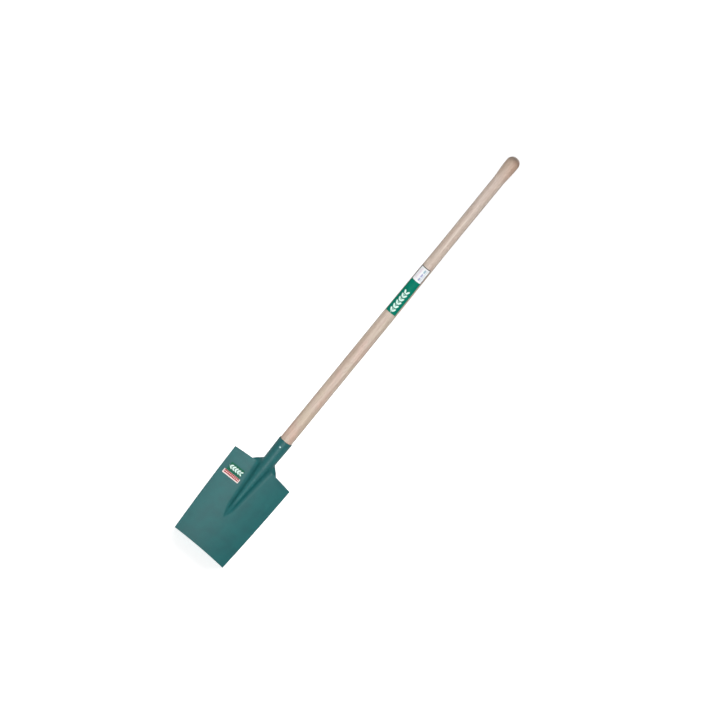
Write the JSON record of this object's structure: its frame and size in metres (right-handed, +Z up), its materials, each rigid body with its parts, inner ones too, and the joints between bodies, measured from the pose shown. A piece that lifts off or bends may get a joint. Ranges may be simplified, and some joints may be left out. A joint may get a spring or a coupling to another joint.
{
  "type": "spade",
  "caption": "Long handled garden spade: a flat-edged pressed steel blade with a ridge and a rolled socket, on a straight turned wooden handle with a knob.",
  "frame": {"origin": "middle of the blade's cutting edge, on the handle's axis", "axes": "+Z up the handle's axis, X across the blade, -Y out of the working face, which the ridge stands out of"},
  "size_m": [0.1962, 0.0428, 1.3949],
  "materials": {
    "green_enamel": "satin blue-green enamel",
    "pale_wood": "pale straight-grained hardwood, sanded and left bare",
    "bright_steel": "bright",
    "label_print": "printed and varnished, green with a white field",
    "sticker_print": "printed and varnished, green and red on white"
  },
  "bodies": {
    "root": {"blade": "green_enamel", "handle": "pale_wood", "nail": "bright_steel", "handle_label": "label_print", "blade_sticker": "sticker_print"}
  },
  "joints": []
}
